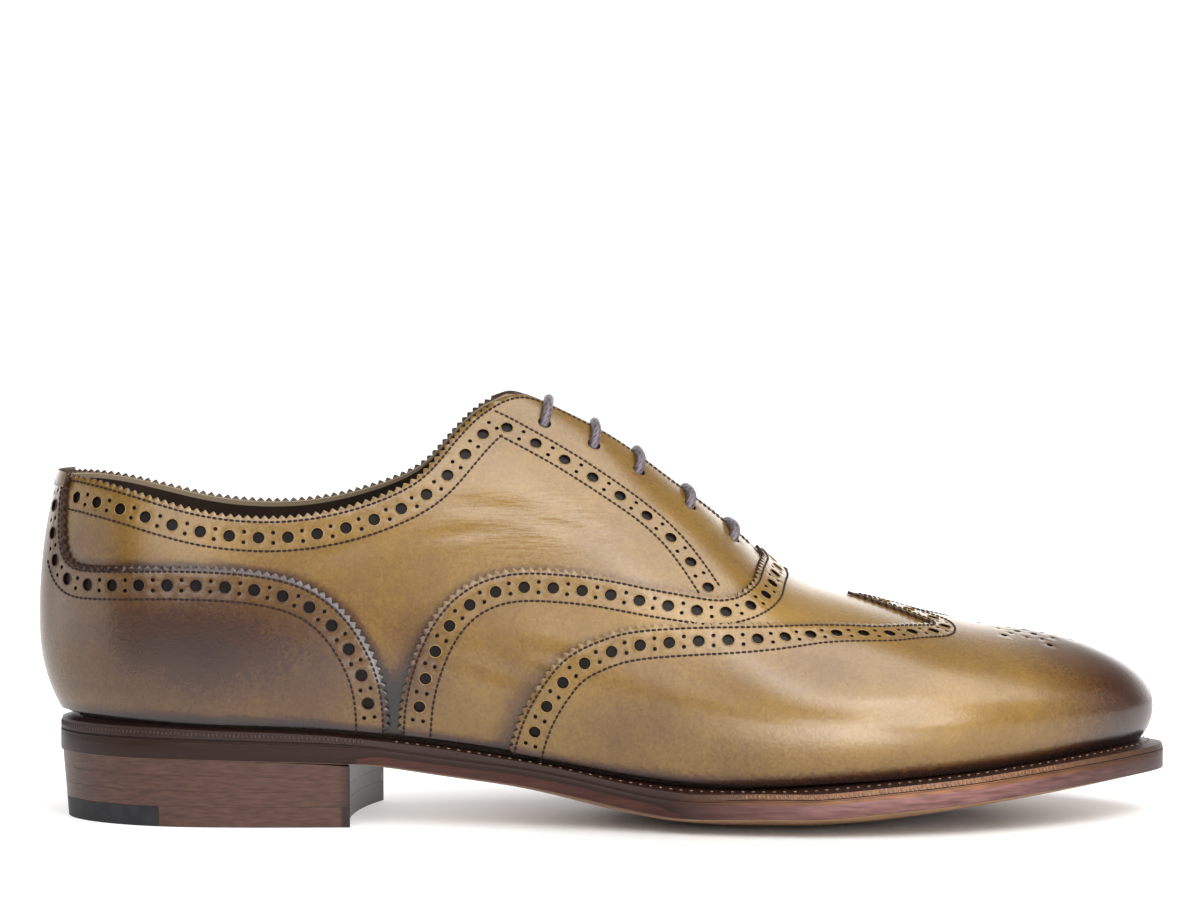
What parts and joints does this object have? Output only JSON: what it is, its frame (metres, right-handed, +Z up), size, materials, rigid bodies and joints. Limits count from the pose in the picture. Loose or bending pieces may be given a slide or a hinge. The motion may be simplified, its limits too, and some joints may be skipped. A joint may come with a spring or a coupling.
{
  "type": "brogue shoe",
  "caption": "Lace-up wing-tip shoe for a right foot: punched leather overlays on a hollow upper, welted leather sole with arch and toe spring, stacked heel.",
  "frame": {"origin": "centre of the bounding box in plan, on the floor that the heel and the ball of the sole touch", "axes": "+X towards the toe, +Z up, -Y the outer side of this right shoe"},
  "size_m": [0.3081, 0.1047, 0.1168],
  "materials": {
    "olive_tan_calf": "polished calf, olive tan, darker at toe, heel and edges",
    "burnished_calf": "polished calf, burnished to dark brown at toe and heel",
    "stained_sole_leather": "stained and waxed edges",
    "lining_leather": "plain, matt",
    "black_rubber": "matt",
    "waxed_cotton": "round braided cord, waxed"
  },
  "bodies": {
    "root": {"outsole": "stained_sole_leather", "welt": "stained_sole_leather", "heel_lift_1": "stained_sole_leather", "heel_lift_2": "stained_sole_leather", "heel_lift_3": "stained_sole_leather", "heel_top_piece": "stained_sole_leather", "heel_rubber_tip": "black_rubber", "insole": "lining_leather", "upper": "olive_tan_calf", "tongue": "olive_tan_calf", "vamp": "olive_tan_calf", "wing_cap": "burnished_calf", "heel_counter": "burnished_calf", "lace_bar_1": "waxed_cotton", "lace_bar_2": "waxed_cotton", "lace_bar_3": "waxed_cotton", "lace_bar_4": "waxed_cotton", "lace_bar_5": "waxed_cotton"}
  },
  "joints": []
}
